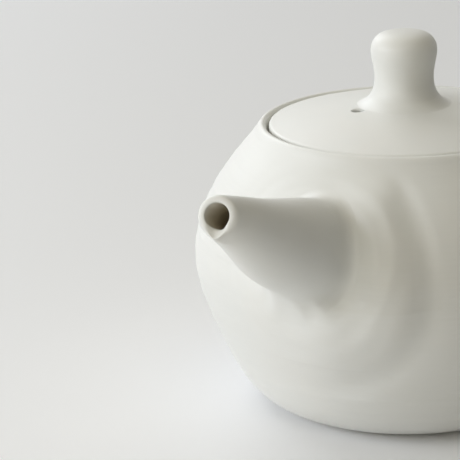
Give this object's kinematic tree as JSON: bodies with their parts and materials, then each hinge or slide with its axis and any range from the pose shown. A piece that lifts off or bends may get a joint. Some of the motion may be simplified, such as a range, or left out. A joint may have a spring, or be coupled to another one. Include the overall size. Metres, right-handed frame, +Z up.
{
  "type": "kyusu",
  "caption": "Side-handled porcelain teapot with a round belly, tapering spout, pierced strainer, hollow handle and a lift-off domed lid with a knob.",
  "frame": {"origin": "centre of the flat foot, on the surface that the pot stands on", "axes": "+Z up along the pot's turning axis; the spout points to -Y; the handle points to +X"},
  "size_m": [0.1698, 0.1421, 0.0913],
  "materials": {
    "pot_glaze": "satin white glaze, bare at the foot and lid seat",
    "spout_glaze": "satin white glaze",
    "strainer_glaze": "thin satin white glaze",
    "handle_glaze": "satin white glaze",
    "lid_glaze": "satin white glaze, bare on the skirt",
    "knob_glaze": "satin white glaze"
  },
  "bodies": {
    "pot": {"body": "pot_glaze", "spout": "spout_glaze", "strainer": "strainer_glaze", "handle": "handle_glaze"},
    "lid": {"lid": "lid_glaze", "knob": "knob_glaze"}
  },
  "joints": [
    {"name": "lid_lift", "type": "slide", "parent": "pot", "child": "lid", "axis": [0, 0, 1], "range_m": [0, 0.06]}
  ]
}
